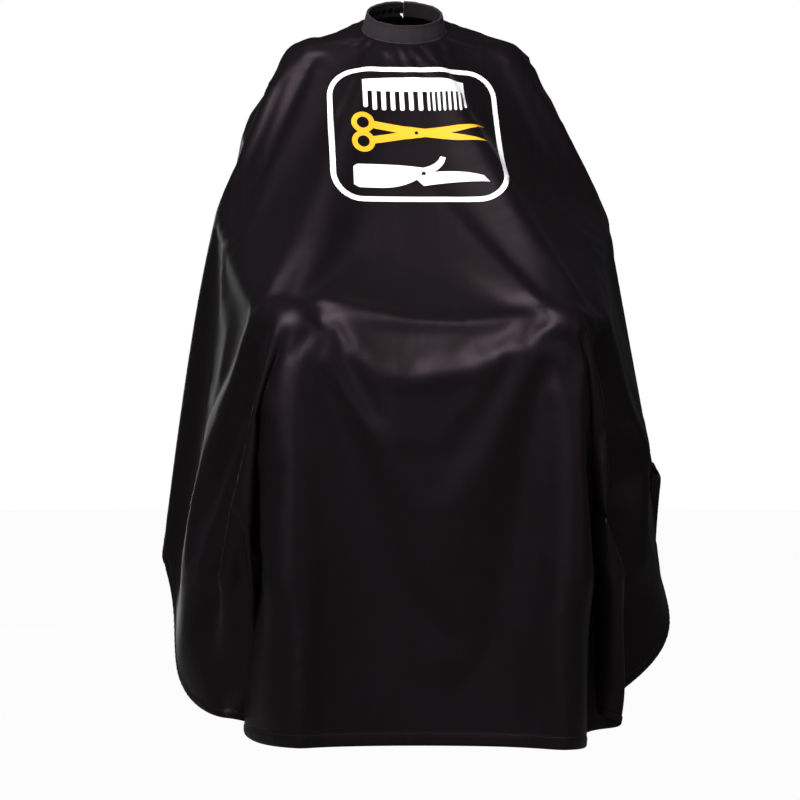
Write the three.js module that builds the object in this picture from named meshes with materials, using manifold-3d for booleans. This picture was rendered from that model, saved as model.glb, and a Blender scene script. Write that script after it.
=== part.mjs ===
// Barber cape, draped as on a seated client: one cloth panel with hems, a stiffened neckband
// closed at the back by a snap strap, and a printed chest badge. Millimetres, +Z up.
// The origin is the centre of the neckband's base ring. The wearer faces -Y.
import * as THREE from "three";
import { mergeVertices } from "three/addons/utils/BufferGeometryUtils.js";
import { TessellateModifier } from "three/addons/modifiers/TessellateModifier.js";
import Module from "manifold-3d";

// The flat cut of the panel
const CUT_WIDTH = 1500;
const CUT_FRONT = 1230; // neck centre to front edge
const CUT_BACK = 500; // neck centre to back edge
const FRONT_CORNER = 320;
const BACK_CORNER = 100;
const BACK_OPENING = 8; // gap between the two back edges
const CLOTH_WALL = 3;
const HANG = { front: 1, side: 0.9, back: 0.95 }; // share of its length that the hanging cloth keeps
const CORNER_SWING = 18; // degrees that the corners of the cut swing to the sides

// Hems
const HEM_WIDTH = 18;
const HEM_WALL = 1.5;
const HEM_MITRE = 0.1; // share of a panel column left between two hems

// Neckband
const BAND_RADIUS = 67; // at its base
const BAND_HEIGHT = 26;
const BAND_LEAN = 7; // how far the top edge leans in
const BAND_TILT = 30; // degrees, front edge low
const BAND_LAYER = 0.9;
const BAND_CORE = 0.8;
const BAND_SLIT = 2; // degrees from the back centre to each end

// Closure strap
const STRAP_FROM = 177; // degrees round the neck, where it folds
const STRAP_TO = 228;
const STRAP_ROOT = 19; // degrees sewn to the band before the fold
const STRAP_HEIGHT = 20;
const STRAP_LIFT = 2.6; // rise over the snaps
const STRAP_RISE = 9; // degrees that the rise takes

// Snap fasteners
const STUD_COUNT = 6;
const STUD_START = 188; // degrees round the neck
const STUD_STEP = 11;
const SOCKET_STUDS = [1, 3]; // the studs that are fastened
const STUD_BASE = 5;
const STUD_DISC = 0.5;
const STUD_POST = 2;
const STUD_HEIGHT = 1.1;
const SOCKET_BORE = 2.6;
const SOCKET_RIM = 5;
const SOCKET_DISC = 1.3;
const CAP_RADIUS = 5.5;
const CAP_DISC = 0.5;
const CAP_DOME = 0.8;
const BACK_DISC = 4.5;

// Chest badge
const BADGE_WIDTH = 264;
const BADGE_HEIGHT = 226;
const BADGE_CORNER = 46;
const BADGE_LINE = 8;
const BADGE_AT = { x: 6, z: -190 };
const ROW_PITCH = 66;
const INK_WALL = 0.6;
const INK_GAP = 1.2;
const INK_FACET = 26; // longest edge of a facet, short enough to follow the chest
const COMB_TEETH = 15;

const GAP = 0.3; // clearance between touching pieces
const HEM_GAP = 0.6;

// The closed rings that the cloth passes over, in plan and in height
const degrees = THREE.MathUtils.degToRad;
const BAND_RISE = BAND_RADIUS * Math.sin(degrees(BAND_TILT)); // of the neckband's base ring, at the back
const SHOULDER_REACH = { front: 83, side: 121, back: 68 }; // out from the neckband's base ring
const SHOULDER_DROP = { front: 94.5, side: 40, back: 95.5 }; // down from it
const SHOULDER = {
  front: BAND_RADIUS + SHOULDER_REACH.front,
  side: BAND_RADIUS + SHOULDER_REACH.side,
  back: BAND_RADIUS + SHOULDER_REACH.back,
  round: 2.2,
  rise: {
    front: -BAND_RISE - SHOULDER_DROP.front,
    side: -SHOULDER_DROP.side,
    back: BAND_RISE - SHOULDER_DROP.back,
  },
};
const SUPPORT = { side: 345, front: 460, back: 245, round: 3, rise: { front: -462, side: -305, back: -205 } };
const FLARE = { front: 0.11, side: 0.26, back: 0.2 };

const wasm = await Module();
wasm.setup();

const satin = new THREE.MeshStandardMaterial({ color: 0x18151a, roughness: 0.45, metalness: 0 });
const bandCloth = new THREE.MeshStandardMaterial({ color: 0x1c1b1e, roughness: 0.6, metalness: 0 });
const core = new THREE.MeshStandardMaterial({ color: 0xd8d6d0, roughness: 0.8, metalness: 0 });
const whiteInk = new THREE.MeshStandardMaterial({ color: 0xfbfbfd, roughness: 0.55, metalness: 0 });
const yellowInk = new THREE.MeshStandardMaterial({ color: 0xfbb528, roughness: 0.55, metalness: 0 });
const blackMetal = new THREE.MeshStandardMaterial({ color: 0x26262a, roughness: 0.35, metalness: 0.8 });

const cape = new THREE.Group();

function addMesh(name, geometry, material) {
  const mesh = new THREE.Mesh(geometry, material);
  mesh.name = name;
  cape.add(mesh);
  return mesh;
}

// Unit normal of a surface, away from the wearer
function surfaceNormal(surface, u, v) {
  const step = 0.002;
  const u0 = Math.max(0, u - step);
  const u1 = Math.min(1, u + step);
  const v0 = Math.max(0, v - step);
  const v1 = Math.min(1, v + step);
  const across = surface(u1, v).sub(surface(u0, v));
  const down = surface(u, v1).sub(surface(u, v0));
  return down.cross(across).normalize();
}

// A closed sheet: the space between two offsets of a surface, with its four edges closed
function sheetGeometry(surface, columns, rows, inner, outer) {
  const positions = [];
  const index = [];
  const layer = (columns + 1) * (rows + 1);
  for (const offset of [inner, outer]) {
    for (let j = 0; j <= rows; j++) {
      for (let i = 0; i <= columns; i++) {
        const normal = surfaceNormal(surface, i / columns, j / rows);
        const point = surface(i / columns, j / rows).addScaledVector(normal, offset);
        positions.push(point.x, point.y, point.z);
      }
    }
  }
  const quad = (a, b, c, d) => index.push(a, b, c, a, c, d);
  const at = (i, j, side) => side * layer + j * (columns + 1) + i;
  for (let j = 0; j < rows; j++) {
    for (let i = 0; i < columns; i++) {
      quad(at(i, j, 0), at(i + 1, j, 0), at(i + 1, j + 1, 0), at(i, j + 1, 0));
      quad(at(i, j, 1), at(i, j + 1, 1), at(i + 1, j + 1, 1), at(i + 1, j, 1));
    }
  }
  for (let i = 0; i < columns; i++) {
    quad(at(i, 0, 0), at(i, 0, 1), at(i + 1, 0, 1), at(i + 1, 0, 0));
    quad(at(i, rows, 0), at(i + 1, rows, 0), at(i + 1, rows, 1), at(i, rows, 1));
  }
  for (let j = 0; j < rows; j++) {
    quad(at(0, j, 0), at(0, j + 1, 0), at(0, j + 1, 1), at(0, j, 1));
    quad(at(columns, j, 0), at(columns, j, 1), at(columns, j + 1, 1), at(columns, j + 1, 0));
  }
  const geometry = new THREE.BufferGeometry();
  geometry.setAttribute("position", new THREE.Float32BufferAttribute(positions, 3));
  geometry.setIndex(index);
  return geometry;
}

// Distance from the neck centre to the edge of the flat cut, at an angle from the front
function cutReach(angle) {
  const across = Math.abs(Math.sin(angle));
  const along = Math.abs(Math.cos(angle));
  const facesFront = Math.cos(angle) > 0;
  const length = facesFront ? CUT_FRONT : CUT_BACK;
  const corner = facesFront ? FRONT_CORNER : BACK_CORNER;
  const straight = Math.min(CUT_WIDTH / 2 / across, length / along);
  const centreX = CUT_WIDTH / 2 - corner;
  const centreY = length - corner;
  if (across * straight <= centreX || along * straight <= centreY) return straight;
  const nearest = across * centreX + along * centreY;
  const missed = centreX ** 2 + centreY ** 2 - nearest ** 2;
  return nearest + Math.sqrt(corner ** 2 - missed);
}

// A value that goes smoothly from front to side to back
function roundTheBody(angle, { front, side, back }) {
  const forward = Math.cos(angle);
  const end = forward > 0 ? front : back;
  return side + (end - side) * forward ** 2;
}

// The base ring of the neckband, in the tilted plane of the neck
function neckPoint(angle, radius, height) {
  const point = new THREE.Vector3(radius * Math.sin(angle), -radius * Math.cos(angle), height);
  return point.applyAxisAngle(new THREE.Vector3(1, 0, 0), degrees(BAND_TILT));
}

function ringPoint(angle, ring) {
  const across = Math.sin(angle);
  const forward = Math.cos(angle);
  const length = forward > 0 ? ring.front : ring.back;
  const reach = (Math.abs(across / ring.side) ** ring.round + Math.abs(forward / length) ** ring.round)
    ** (-1 / ring.round);
  return new THREE.Vector3(reach * across, -reach * forward, roundTheBody(angle, ring.rise));
}

// The line that the cloth follows from the neckband to its edge, by its angle in the flat cut
function fallLine(cutAngle) {
  const angle = cutAngle + degrees(CORNER_SWING) * Math.sin(2 * cutAngle);
  const neck = neckPoint(cutAngle, BAND_RADIUS, -GAP);
  const shoulder = ringPoint(angle, SHOULDER);
  const support = ringPoint(angle, SUPPORT);
  const used = neck.distanceTo(shoulder) + shoulder.distanceTo(support);
  const drop = (cutReach(cutAngle) - BAND_RADIUS - used) * roundTheBody(angle, HANG);
  const out = new THREE.Vector3(support.x, support.y, 0).normalize();
  const flare = roundTheBody(angle, FLARE);
  const hem = support.clone().addScaledVector(out, drop * flare);
  hem.z -= drop;
  const middle = support.clone().lerp(hem, 0.5).addScaledVector(out, drop * flare * 0.2);
  return new THREE.CatmullRomCurve3([neck, shoulder, support, middle, hem], false, "centripetal");
}

const backAngle = Math.PI - BACK_OPENING / 2 / BAND_RADIUS;
const PANEL_COLUMNS = 72;
const PANEL_ROWS = 16;

function panelSurface(u, v) {
  return fallLine(THREE.MathUtils.lerp(-backAngle, backAngle, u)).getPoint(v);
}

// A strip folded under the panel's edge, between two columns of the panel
function edgeHem(fromColumn, toColumn) {
  const surface = (u, v) => {
    const column = THREE.MathUtils.lerp(fromColumn + HEM_MITRE, toColumn - HEM_MITRE, u);
    const line = fallLine(THREE.MathUtils.lerp(-backAngle, backAngle, column / PANEL_COLUMNS));
    const reach = HEM_WIDTH / line.getPoint(1).distanceTo(line.getPoint(0.9)) / 10;
    return line.getPoint(1 - reach * (1 - v));
  };
  const inner = -CLOTH_WALL - HEM_GAP - HEM_WALL;
  return sheetGeometry(surface, toColumn - fromColumn, 1, inner, -CLOTH_WALL - HEM_GAP);
}

// A strip folded under a back edge, from one row below the neckband to two above the outer hem
function openingHem(side) {
  const surface = (u, v) => {
    const row = THREE.MathUtils.lerp(1, PANEL_ROWS - 2, v) / PANEL_ROWS;
    const edge = side > 0 ? 1 : 0;
    const line = panelSurface(edge, row);
    const wide = line.distanceTo(panelSurface(edge - side * 0.01, row)) / 0.01;
    const from = edge - (side * HEM_WIDTH) / wide;
    const low = Math.min(edge, from);
    const high = Math.max(edge, from);
    return panelSurface(THREE.MathUtils.lerp(low, high, u), row);
  };
  const inner = -CLOTH_WALL - HEM_GAP - HEM_WALL;
  return sheetGeometry(surface, 2, PANEL_ROWS - 3, inner, -CLOTH_WALL - HEM_GAP);
}

// The cone that the neckband wraps: v runs from the top edge to the base
function bandSurface(from, to, height, extra = () => 0) {
  const margin = (BAND_HEIGHT - height) / 2;
  return (u, v) => {
    const angle = degrees(THREE.MathUtils.lerp(from, to, u));
    const level = margin + height * (1 - v);
    const radius = BAND_RADIUS - (BAND_LEAN * level) / BAND_HEIGHT + extra(angle);
    return neckPoint(angle, radius, level);
  };
}

function buildPanel() {
  addMesh("cape_panel", sheetGeometry(panelSurface, PANEL_COLUMNS, PANEL_ROWS, -CLOTH_WALL, 0), satin);
  const edges = [
    ["left_back_hem", 0, 12],
    ["left_side_hem", 12, 28],
    ["front_hem", 28, 44],
    ["right_side_hem", 44, 60],
    ["right_back_hem", 60, 72],
  ];
  for (const [name, from, to] of edges) {
    addMesh(name, edgeHem(from, to), satin);
  }
  addMesh("left_opening_hem", openingHem(-1), satin);
  addMesh("right_opening_hem", openingHem(1), satin);
}

function buildNeckband() {
  const end = 180 - BAND_SLIT;
  const wrap = bandSurface(-end, end, BAND_HEIGHT);
  const steps = 56;
  const coreInner = -BAND_LAYER - GAP - BAND_CORE;
  addMesh("neckband_outer", sheetGeometry(wrap, steps, 1, -BAND_LAYER, 0), bandCloth);
  addMesh("neckband_stiffener", sheetGeometry(wrap, steps, 1, coreInner, -BAND_LAYER - GAP), core);
  const lining = coreInner - GAP;
  addMesh("neckband_lining", sheetGeometry(wrap, steps, 1, lining - BAND_LAYER, lining), bandCloth);
}

// How far the strap stands off the band: it rises from the fold to pass over the snaps
function strapLift(angle) {
  const start = degrees(STRAP_FROM);
  return STRAP_LIFT * THREE.MathUtils.smoothstep(angle, start, start + degrees(STRAP_RISE));
}

function buildStrap() {
  const root = bandSurface(STRAP_FROM - STRAP_ROOT, STRAP_FROM, STRAP_HEIGHT);
  const clear = 0.25; // degrees left at the fold
  const flap = bandSurface(STRAP_FROM + clear, STRAP_TO, STRAP_HEIGHT, strapLift);
  const liningOut = GAP + BAND_LAYER;
  const outerIn = liningOut + GAP;
  for (const [part, surface, steps] of [["root", root, 4], ["strap", flap, 14]]) {
    addMesh(part + "_lining", sheetGeometry(surface, steps, 1, GAP, liningOut), bandCloth);
    addMesh(part + "_outer", sheetGeometry(surface, steps, 1, outerIn, outerIn + BAND_LAYER), bandCloth);
  }
}

function lathe(profile) {
  const points = profile.map(([radius, height]) => new THREE.Vector2(radius, height));
  return new THREE.LatheGeometry(points, 16);
}

// Seats a turned piece on the band: its own Y axis points away from the neck
function seat(mesh, angle, offset) {
  const surface = bandSurface(angle - 1, angle + 1, BAND_HEIGHT);
  const normal = surfaceNormal(surface, 0.5, 0.5);
  mesh.position.copy(surface(0.5, 0.5)).addScaledVector(normal, offset);
  mesh.quaternion.setFromUnitVectors(new THREE.Vector3(0, 1, 0), normal);
}

function buildSnaps() {
  const stud = lathe([
    [0, 0], [STUD_BASE, 0], [STUD_BASE, STUD_DISC], [STUD_POST, STUD_DISC],
    [STUD_POST * 0.85, STUD_DISC + STUD_HEIGHT], [0, STUD_DISC + STUD_HEIGHT],
  ]);
  const washer = lathe([[0, 0], [BACK_DISC, 0], [BACK_DISC, STUD_DISC], [0, STUD_DISC]]);
  const socket = lathe([
    [SOCKET_BORE, 0], [SOCKET_RIM, 0], [SOCKET_RIM, SOCKET_DISC], [SOCKET_BORE, SOCKET_DISC], [SOCKET_BORE, 0],
  ]);
  const cap = lathe([
    [0, 0], [CAP_RADIUS, 0], [CAP_RADIUS, CAP_DISC], [CAP_RADIUS * 0.6, CAP_DISC + CAP_DOME * 0.8],
    [0, CAP_DISC + CAP_DOME],
  ]);
  const bandWall = 2 * BAND_LAYER + BAND_CORE + 2 * GAP;
  const sag = BACK_DISC ** 2 / 2 / (BAND_RADIUS - BAND_LEAN - bandWall);
  for (let i = 0; i < STUD_COUNT; i++) {
    const angle = STUD_START + i * STUD_STEP;
    seat(addMesh(`snap_stud_${i + 1}`, stud, blackMetal), angle, GAP);
    seat(addMesh(`stud_washer_${i + 1}`, washer, blackMetal), angle, -bandWall - GAP - STUD_DISC - sag);
  }
  const strapIn = STRAP_LIFT + GAP;
  const strapOut = strapIn + 2 * BAND_LAYER + GAP;
  SOCKET_STUDS.forEach((stud, i) => {
    const angle = STUD_START + stud * STUD_STEP;
    const socketAt = GAP + STUD_DISC + GAP;
    seat(addMesh(`snap_socket_${i + 1}`, socket, blackMetal), angle, socketAt);
    seat(addMesh(`snap_cap_${i + 1}`, cap, blackMetal), angle, strapOut + GAP);
  });
}

function toSolid(geometry) {
  const bare = geometry.clone();
  bare.deleteAttribute("normal");
  bare.deleteAttribute("uv");
  const merged = mergeVertices(bare, 1e-3);
  return new wasm.Manifold(new wasm.Mesh({
    numProp: 3,
    vertProperties: new Float32Array(merged.attributes.position.array),
    triVerts: new Uint32Array(merged.index.array),
  }));
}

function fromSolid(solid) {
  const mesh = solid.getMesh();
  const geometry = new THREE.BufferGeometry();
  geometry.setAttribute("position", new THREE.BufferAttribute(mesh.vertProperties, 3));
  geometry.setIndex(new THREE.BufferAttribute(mesh.triVerts, 1));
  return geometry;
}

function ink(shape) {
  return new THREE.ExtrudeGeometry(shape, { depth: INK_WALL, bevelEnabled: false, curveSegments: 5 });
}

function roundedRectangle(width, height, radius, path = new THREE.Shape()) {
  const x = width / 2 - radius;
  const y = height / 2 - radius;
  path.absarc(x, y, radius, 0, Math.PI / 2);
  path.absarc(-x, y, radius, Math.PI / 2, Math.PI);
  path.absarc(-x, -y, radius, Math.PI, 1.5 * Math.PI);
  path.absarc(x, -y, radius, 1.5 * Math.PI, 2 * Math.PI);
  path.closePath();
  return path;
}

function badgeFrame() {
  const shape = roundedRectangle(BADGE_WIDTH, BADGE_HEIGHT, BADGE_CORNER);
  const inside = [BADGE_WIDTH - 2 * BADGE_LINE, BADGE_HEIGHT - 2 * BADGE_LINE, BADGE_CORNER - BADGE_LINE];
  shape.holes.push(roundedRectangle(...inside, new THREE.Path()));
  return ink(shape);
}

// A comb lying flat, its teeth down
function comb(length, height) {
  const tooth = length / (2 * COMB_TEETH - 1);
  const spine = height * 0.42;
  const shape = new THREE.Shape();
  shape.moveTo(-length / 2, height / 2);
  for (let i = 0; i < COMB_TEETH; i++) {
    const x = -length / 2 + 2 * i * tooth;
    shape.lineTo(x, -height / 2);
    shape.lineTo(x + tooth, -height / 2);
    if (i < COMB_TEETH - 1) {
      shape.lineTo(x + tooth, height / 2 - spine);
      shape.lineTo(x + 2 * tooth, height / 2 - spine);
    }
  }
  shape.lineTo(length / 2, height / 2);
  shape.closePath();
  return ink(shape);
}

// Scissors, closed almost to the tips
function scissors(length, height) {
  const parts = [];
  for (const side of [-1, 1]) {
    const blade = new THREE.Shape();
    blade.moveTo(length * 0.5, 0);
    blade.quadraticCurveTo(length * 0.2, height * 0.16, -length * 0.12, height * 0.1);
    blade.lineTo(-length * 0.12, -height * 0.1);
    blade.closePath();
    const shank = new THREE.Shape();
    shank.moveTo(-length * 0.05, -height * 0.1);
    shank.lineTo(-length * 0.05, height * 0.1);
    shank.lineTo(-length * 0.34, height * 0.08);
    shank.lineTo(-length * 0.34, -height * 0.08);
    shank.closePath();
    const bow = new THREE.Shape();
    bow.absarc(-length * 0.4, 0, height * 0.27, 0, 2 * Math.PI);
    const finger = new THREE.Path();
    finger.absarc(-length * 0.4, 0, height * 0.14, 0, 2 * Math.PI);
    bow.holes.push(finger);
    for (const shape of [blade, shank, bow]) {
      const piece = ink(shape);
      piece.translate(length * 0.05, 0, 0);
      piece.rotateZ(side * (shape === blade ? -0.13 : 0.17) * -1);
      parts.push(toSolid(piece));
    }
  }
  return fromSolid(wasm.Manifold.union(parts)).toNonIndexed();
}

// A straight razor, half open
function razor(length, height) {
  const blade = new THREE.Shape();
  blade.moveTo(-length * 0.5, height * 0.34);
  blade.lineTo(length * 0.08, height * 0.2);
  blade.lineTo(length * 0.12, -height * 0.12);
  blade.lineTo(length * 0.04, -height * 0.2);
  blade.quadraticCurveTo(-length * 0.3, -height * 0.3, -length * 0.5, -height * 0.24);
  blade.closePath();
  const handle = new THREE.Shape();
  handle.moveTo(length * 0.02, height * 0.16);
  handle.quadraticCurveTo(length * 0.3, height * 0.5, length * 0.5, height * 0.36);
  handle.lineTo(length * 0.47, height * 0.08);
  handle.quadraticCurveTo(length * 0.3, height * 0.14, length * 0.06, -height * 0.18);
  handle.closePath();
  return fromSolid(toSolid(ink(blade)).add(toSolid(ink(handle)))).toNonIndexed();
}

// Lays a flat piece on the outside of the panel, straight ahead of the chest
function layOnPanel(geometry, panel, x, z) {
  const fine = new TessellateModifier(INK_FACET, 40).modify(geometry);
  const position = fine.attributes.position;
  const caster = new THREE.Raycaster();
  for (let i = 0; i < position.count; i++) {
    const from = new THREE.Vector3(x + position.getX(i), -CUT_FRONT, z + position.getY(i));
    caster.set(from, new THREE.Vector3(0, 1, 0));
    const hit = caster.intersectObject(panel)[0];
    const stand = (INK_GAP + position.getZ(i)) / chestSlope(hit);
    position.setXYZ(i, from.x, hit.point.y - stand, from.z);
  }
  return fine;
}

function chestSlope(hit) {
  return Math.max(0.3, -hit.face.normal.y);
}

function buildBadge() {
  const panel = cape.getObjectByName("cape_panel");
  panel.material.side = THREE.DoubleSide;
  const row = BADGE_HEIGHT / 4;
  const marks = [
    ["badge_frame", badgeFrame(), 0, whiteInk],
    ["badge_comb", comb(150, row), ROW_PITCH, whiteInk],
    ["badge_scissors", scissors(214, row), 0, yellowInk],
    ["badge_razor", razor(196, row), -ROW_PITCH, whiteInk],
  ];
  for (const [name, flat, up, material] of marks) {
    addMesh(name, layOnPanel(flat, panel, BADGE_AT.x, BADGE_AT.z + up), material);
  }
  panel.material.side = THREE.FrontSide;
}

buildPanel();
buildNeckband();
buildStrap();
buildSnaps();
buildBadge();

export default cape;
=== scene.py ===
"""Barber cape: the cloth, its hems and band, the strap, the snaps and the print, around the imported
model. The file is laid out as a Blender add-on and is run as a script. Metres, +Z up; the wearer
faces -Y and the origin is the centre of the neckband's base ring.
"""

import math
from types import SimpleNamespace

import bmesh
import bpy
import numpy as np
from bpy.props import FloatProperty, FloatVectorProperty, IntProperty, PointerProperty
from mathutils import Matrix, Vector
from mathutils.bvhtree import BVHTree
from mathutils.geometry import barycentric_transform, delaunay_2d_cdt


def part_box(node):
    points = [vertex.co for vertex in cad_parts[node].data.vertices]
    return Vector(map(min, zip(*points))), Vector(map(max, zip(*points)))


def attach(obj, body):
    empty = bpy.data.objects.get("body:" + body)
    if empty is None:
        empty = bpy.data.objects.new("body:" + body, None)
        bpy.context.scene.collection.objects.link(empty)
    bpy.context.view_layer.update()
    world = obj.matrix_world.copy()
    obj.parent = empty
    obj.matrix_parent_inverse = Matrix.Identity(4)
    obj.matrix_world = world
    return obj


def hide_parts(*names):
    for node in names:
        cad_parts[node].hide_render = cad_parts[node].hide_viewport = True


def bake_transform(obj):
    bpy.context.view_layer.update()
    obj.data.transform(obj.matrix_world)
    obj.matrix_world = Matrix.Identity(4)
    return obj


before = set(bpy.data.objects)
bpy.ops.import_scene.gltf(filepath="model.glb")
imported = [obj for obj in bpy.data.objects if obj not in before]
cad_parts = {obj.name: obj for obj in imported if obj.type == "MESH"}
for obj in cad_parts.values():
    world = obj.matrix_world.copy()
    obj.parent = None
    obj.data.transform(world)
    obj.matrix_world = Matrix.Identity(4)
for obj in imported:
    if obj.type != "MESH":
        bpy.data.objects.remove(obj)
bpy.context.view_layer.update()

bl_info = {
    "name": "Barber cape",
    "version": (1, 0, 0),
    "blender": (4, 5, 0),
    "location": "View3D > Sidebar > Barber cape",
    "description": "Drapes a barber cape from its flat cut and dresses its neckband",
    "category": "Object",
}

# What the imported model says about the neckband
BAND_LOW, BAND_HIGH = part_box("neckband_outer")
BAND_RADIUS = BAND_HIGH.x
BAND_TILT = math.asin(-BAND_LOW.z / BAND_RADIUS)
NECK_TURN = Matrix.Rotation(BAND_TILT, 3, "X")
BAND_HEIGHT = 0.026
BAND_LEAN = 0.007
BAND_SLIT = math.radians(2)
STUD_COUNT = sum(name.startswith("snap_stud_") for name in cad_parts)
SOCKET_COUNT = sum(name.startswith("snap_socket_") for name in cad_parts)
STRAP_ROOT_FROM = math.radians(158)
STRAP_FOLD_AT = math.radians(177)
STRAP_TO = math.radians(228)
STRAP_HEIGHT = 0.020
STRAP_LIFT = 0.0026
STRAP_RISE = math.radians(9)


# ---------------------------------------------------------------- sizes and colours


class ClothSizes(bpy.types.PropertyGroup):
    width: FloatProperty(name="Width", description="Width of the flat cut", default=1.50, unit="LENGTH")
    front: FloatProperty(
        name="Front", description="Neck centre to the front edge of the cut", default=1.20, unit="LENGTH"
    )
    back: FloatProperty(
        name="Back", description="Neck centre to the back edge of the cut", default=0.50, unit="LENGTH"
    )
    front_corner: FloatProperty(
        name="Front corner", description="Radius of the front corners of the cut", default=0.48, unit="LENGTH"
    )
    back_corner: FloatProperty(
        name="Back corner", description="Radius of the back corners of the cut", default=0.10, unit="LENGTH"
    )
    neck_cut: FloatProperty(
        name="Neck cut", description="Radius of the hole, which the band gathers in", default=0.080, unit="LENGTH"
    )
    opening: FloatProperty(
        name="Back opening", description="Gap between the two back edges", default=0.003, unit="LENGTH"
    )
    wall: FloatProperty(name="Cloth", description="Thickness of the cloth", default=0.0005, unit="LENGTH")
    hem: FloatProperty(name="Hem", description="Width of the turned hem", default=0.017, unit="LENGTH")
    colour: FloatVectorProperty(
        name="Colour", description="Colour of the satin", default=(0.0042, 0.0031, 0.0039), subtype="COLOR"
    )
    sheen_colour: FloatVectorProperty(
        name="Sheen", description="Tint of the satin's gloss", default=(1.0, 0.80, 0.91), subtype="COLOR"
    )


class BandSizes(bpy.types.PropertyGroup):
    seam: FloatProperty(
        name="Seam cover", description="How far the band covers the cloth's top edge", default=0.0016, unit="LENGTH"
    )
    layer: FloatProperty(name="Layer", description="Thickness of one layer", default=0.0009, unit="LENGTH")
    colour: FloatVectorProperty(
        name="Colour", description="Colour of the band cloth", default=(0.0026, 0.0023, 0.0026), subtype="COLOR"
    )
    stitch: FloatProperty(name="Stitch", description="Length of one stitch", default=0.0028, unit="LENGTH")
    pitch: FloatProperty(name="Pitch", description="From one stitch to the next", default=0.0042, unit="LENGTH")


class PrintSizes(bpy.types.PropertyGroup):
    corner: FloatProperty(name="Corner", description="Radius of the frame's corners", default=0.046, unit="LENGTH")
    line: FloatProperty(name="Line", description="Width of the frame's line", default=0.008, unit="LENGTH")
    row: FloatProperty(name="Row", description="From one picture to the next", default=0.066, unit="LENGTH")
    film: FloatProperty(name="Film", description="Thickness of the print", default=0.0003, unit="LENGTH")
    teeth: IntProperty(name="Teeth", description="Teeth of the comb", default=15)
    white: FloatVectorProperty(
        name="White", description="Colour of the white print", default=(0.93, 0.93, 0.95), subtype="COLOR"
    )
    yellow: FloatVectorProperty(
        name="Yellow", description="Colour of the yellow print", default=(0.95, 0.44, 0.020), subtype="COLOR"
    )


class StageSizes(bpy.types.PropertyGroup):
    floor: FloatProperty(name="Floor", description="Height of the floor", default=-1.26, unit="LENGTH")
    distance: FloatProperty(name="Distance", description="Camera to neck", default=3.1, unit="LENGTH")
    height: FloatProperty(name="Height", description="Height of the camera", default=-0.592, unit="LENGTH")
    turn: FloatProperty(
        name="Turn", description="Angle of the camera round the cape", default=math.radians(-4), unit="ROTATION"
    )
    aside: FloatProperty(name="Aside", description="Camera's step to its left", default=0.0064, unit="LENGTH")
    lens: FloatProperty(name="Lens", description="Focal length in millimetres", default=87.3)
    key: FloatProperty(name="Key light", description="Power of the main light in watts", default=105.0)


def settings_of(group):
    return getattr(bpy.context.scene, "barber_" + group)


def sizes(group):
    """A group's values, rounded to a micrometre so that each one is the number that was set."""
    settings = settings_of(group)
    values = {name: getattr(settings, name) for name in GROUPS[group].__annotations__}
    for name, value in values.items():
        if isinstance(value, float):
            values[name] = round(value, 6)
        elif not isinstance(value, int):
            values[name] = tuple(value)
    return SimpleNamespace(**values)


# ---------------------------------------------------------------- places on the neck


def neck_point(angle, radius, height):
    """A point on the neck, at an angle from the front, in the band's tilted frame."""
    return NECK_TURN @ Vector((radius * math.sin(angle), -radius * math.cos(angle), height))


def band_radius(height):
    return BAND_RADIUS - BAND_LEAN * height / BAND_HEIGHT


def band_normal(angle):
    """Away from the neck, at right angles to the band's cone."""
    slope = math.atan2(BAND_LEAN, BAND_HEIGHT)
    return neck_point(angle, math.cos(slope), math.sin(slope))


def on_band(angle, height, out):
    return neck_point(angle, band_radius(height), height) + band_normal(angle) * out


def smooth_step(value, start, end):
    t = min(1.0, max(0.0, (value - start) / (end - start)))
    return t * t * (3 - 2 * t)


# ---------------------------------------------------------------- materials


def new_group(name, inputs, outputs):
    """A shader node group with named sockets, and its two end nodes."""
    group = bpy.data.node_groups.new(name, "ShaderNodeTree")
    for socket, kind, default in inputs:
        made = group.interface.new_socket(socket, in_out="INPUT", socket_type="NodeSocket" + kind)
        if default is not None:
            made.default_value = default
    for socket, kind in outputs:
        group.interface.new_socket(socket, in_out="OUTPUT", socket_type="NodeSocket" + kind)
    return group, group.nodes.new("NodeGroupInput"), group.nodes.new("NodeGroupOutput")


def maths(tree, operation, first, second=None):
    node = tree.nodes.new("ShaderNodeMath")
    node.operation = operation
    for socket, value in zip(node.inputs, (first, second)):
        if value is None:
            continue
        if isinstance(value, bpy.types.NodeSocket):
            tree.links.new(value, socket)
        else:
            socket.default_value = value
    return node.outputs[0]


def noise(tree, vector, scale, detail=3.0, roughness=0.5):
    node = tree.nodes.new("ShaderNodeTexNoise")
    node.inputs["Scale"].default_value = scale
    node.inputs["Detail"].default_value = detail
    node.inputs["Roughness"].default_value = roughness
    tree.links.new(vector, node.inputs["Vector"])
    return node.outputs["Fac"]


def stretched(tree, vector, scale, turn=0.0):
    node = tree.nodes.new("ShaderNodeMapping")
    node.inputs["Scale"].default_value = scale
    node.inputs["Rotation"].default_value = (0, 0, turn)
    tree.links.new(vector, node.inputs["Vector"])
    return node.outputs["Vector"]


def ribs(tree, vector, direction, scale):
    node = tree.nodes.new("ShaderNodeTexWave")
    node.bands_direction = direction
    node.inputs["Scale"].default_value = scale
    tree.links.new(vector, node.inputs["Vector"])
    return node.outputs["Fac"]


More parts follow.
